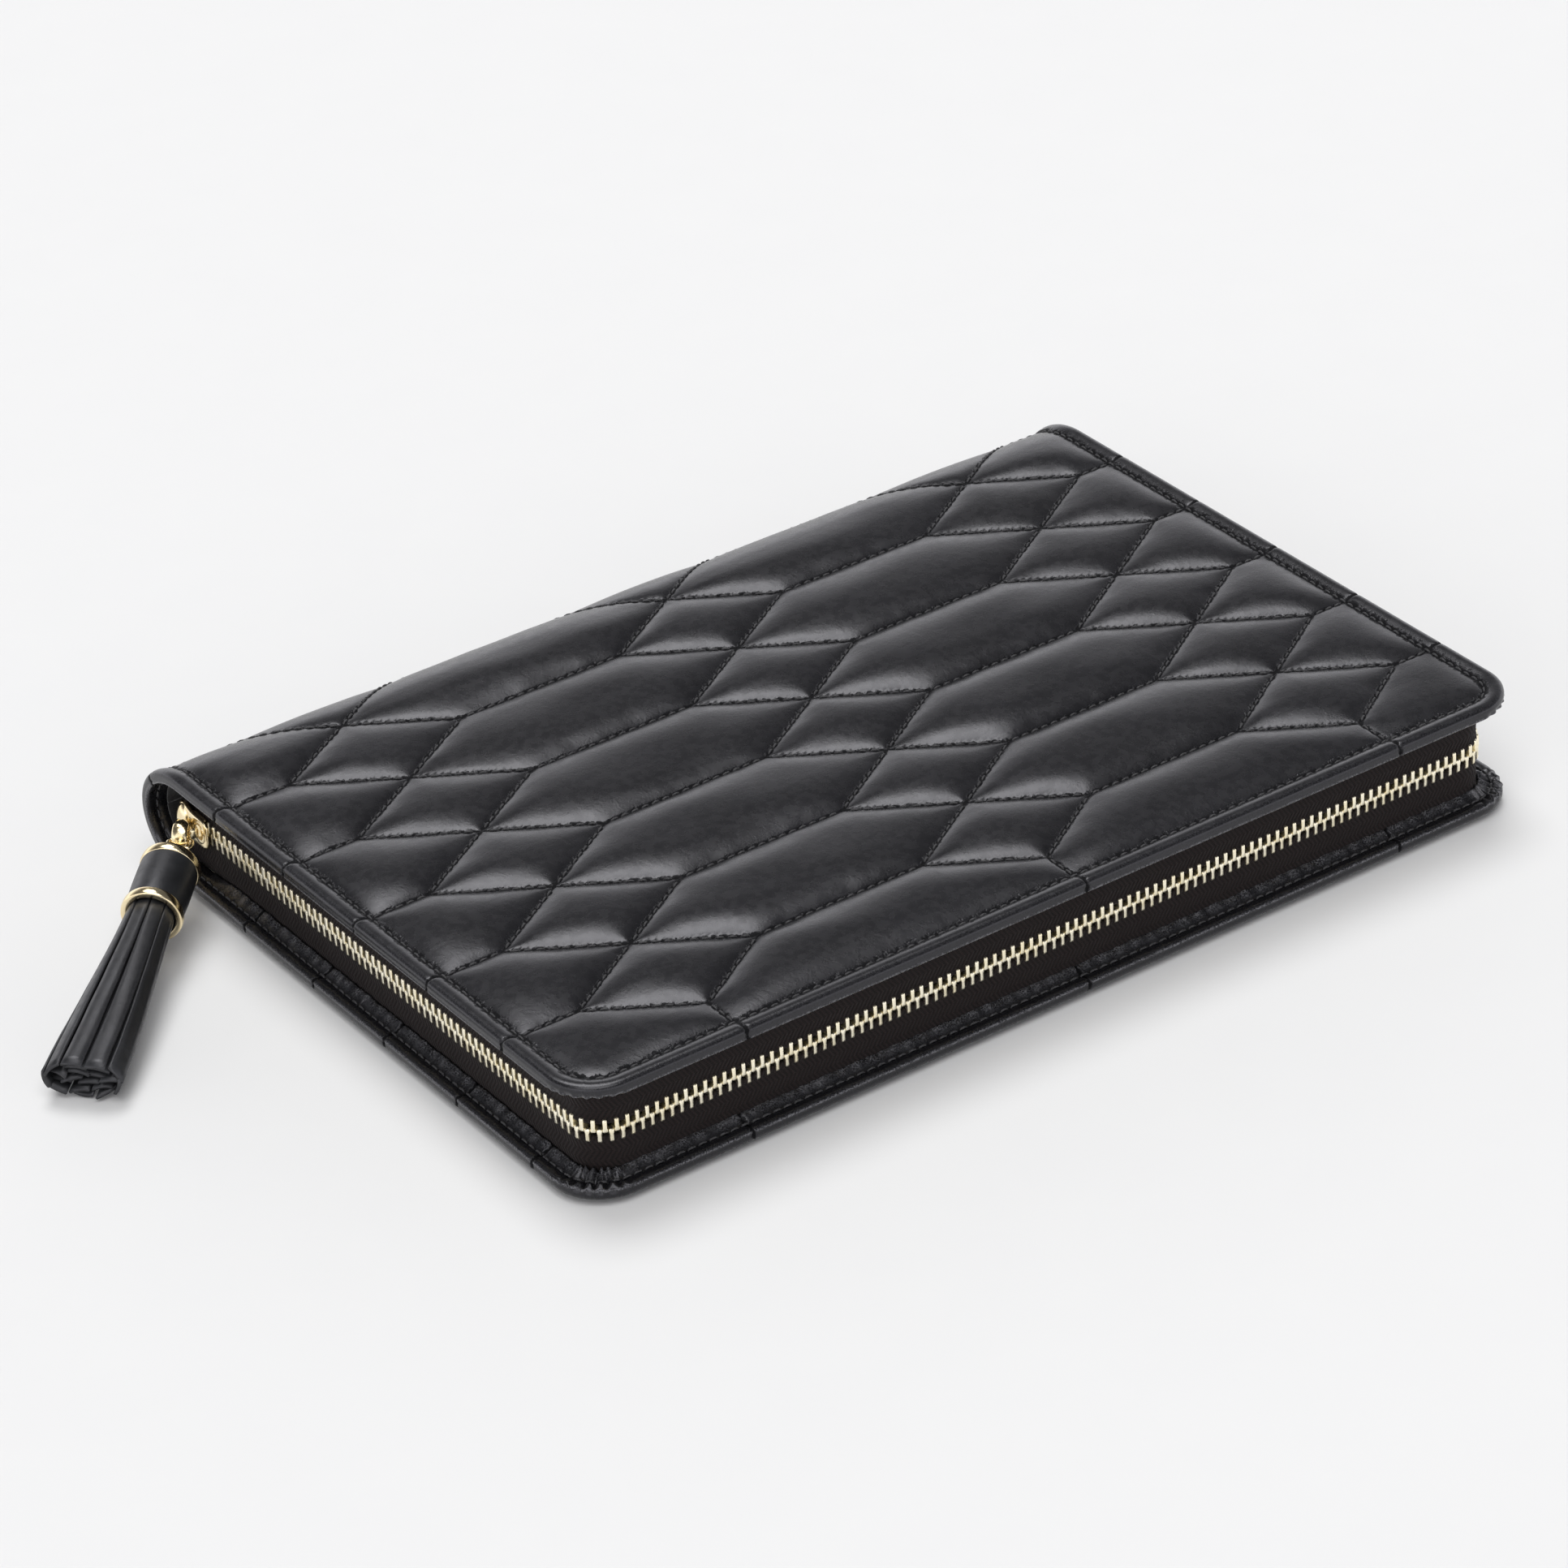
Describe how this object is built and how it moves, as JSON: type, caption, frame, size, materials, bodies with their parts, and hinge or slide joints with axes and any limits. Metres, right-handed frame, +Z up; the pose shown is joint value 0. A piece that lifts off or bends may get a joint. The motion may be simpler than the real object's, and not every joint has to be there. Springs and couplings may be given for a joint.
{
  "type": "zip-round jewellery case",
  "caption": "Flat quilted leather jewellery case that opens like a book, with a zip round three sides, a tassel pull and a lined, divided inside.",
  "frame": {"origin": "middle of the flat underside that the closed case rests on", "axes": "+X along the long side, +Y from the front zip towards the rolled spine, +Z up through the lid"},
  "size_m": [0.3429, 0.1945, 0.032],
  "materials": {
    "leather": "smooth black nappa, quilted, semi-gloss",
    "tassel_leather": "smooth black leather, cut strands",
    "wadding": "soft foam wadding",
    "board": "grey stiffening board",
    "lining": "black microfibre suede",
    "roll_foam": "black microfibre suede over foam",
    "zip_tape": "black herringbone tape",
    "coil": "black nylon coil",
    "gold": "polished light gold plating"
  },
  "bodies": {
    "base": {"base_cover": "leather", "base_wadding": "wadding", "base_board": "board", "base_lining": "lining", "base_gusset": "lining", "lower_zip_tape": "zip_tape", "lower_teeth": "gold", "lower_stops": "gold", "lower_hinge_strip": "leather", "tray_frame": "lining", "tray_divider_left": "lining", "tray_divider_right": "lining", "earring_pad": "lining", "pocket_front_panel": "lining", "pocket_rear_panel": "lining", "pocket_zip_tape": "zip_tape", "pocket_zip_coil": "coil", "ring_roll_1": "roll_foam", "ring_roll_2": "roll_foam", "ring_roll_3": "roll_foam", "ring_roll_4": "roll_foam"},
    "spine": {"spine_cover": "leather", "spine_wadding": "wadding", "spine_lining": "lining"},
    "lid": {"lid_cover": "leather", "lid_wadding": "wadding", "lid_board": "board", "lid_lining": "lining", "lid_gusset": "lining", "upper_zip_tape": "zip_tape", "upper_teeth": "gold", "upper_stops": "gold", "upper_hinge_strip": "leather", "necklace_pad": "lining", "necklace_hooks": "gold", "elastic_pocket": "lining", "elastic_band": "zip_tape"},
    "zip_slider": {"slider_body": "gold", "slider_bail": "gold"},
    "pull": {"pull_ring": "gold"},
    "tassel": {"tassel_bell": "gold", "tassel_top_band": "gold", "tassel_cap": "tassel_leather", "tassel_low_band": "gold", "tassel_core": "tassel_leather", "tassel_strands": "tassel_leather"},
    "pocket_slider": {"pocket_slider": "gold"},
    "pocket_pull": {"pocket_pull": "gold"}
  },
  "joints": [
    {"name": "spine_fold", "type": "hinge", "parent": "base", "child": "spine", "pos_m": [0, 0.094, 0.006], "axis": [-1, 0, 0], "range_deg": [0, 90], "deforming": ["lower_hinge_strip"]},
    {"name": "lid_fold", "type": "hinge", "parent": "spine", "child": "lid", "pos_m": [0, 0.094, 0.026], "axis": [-1, 0, 0], "range_deg": [0, 90], "deforming": ["upper_hinge_strip"]},
    {"name": "zip_slide", "type": "slide", "parent": "base", "child": "zip_slider", "axis": [0, -1, 0], "range_m": [0, 0.15], "deforming": ["lower_teeth", "upper_teeth"]},
    {"name": "pull_swing", "type": "hinge", "parent": "zip_slider", "child": "pull", "pos_m": [-0.1335, 0.0825, 0.016], "axis": [0, 0, 1], "range_deg": [-90, 10]},
    {"name": "tassel_lift", "type": "hinge", "parent": "pull", "child": "tassel", "pos_m": [-0.1359, 0.0801, 0.016], "axis": [-0.7071, 0.7071, 0], "range_deg": [0, 35]},
    {"name": "pocket_slide", "type": "slide", "parent": "base", "child": "pocket_slider", "axis": [1, 0, 0], "range_m": [0, 0.216]},
    {"name": "pocket_pull_flip", "type": "hinge", "parent": "pocket_slider", "child": "pocket_pull", "pos_m": [-0.108, -0.04175, 0.00925], "axis": [0, 1, 0], "range_deg": [0, 180]}
  ],
  "couplings": [
    {"joint": "lid_fold", "follows": "spine_fold", "ratio": 1}
  ]
}
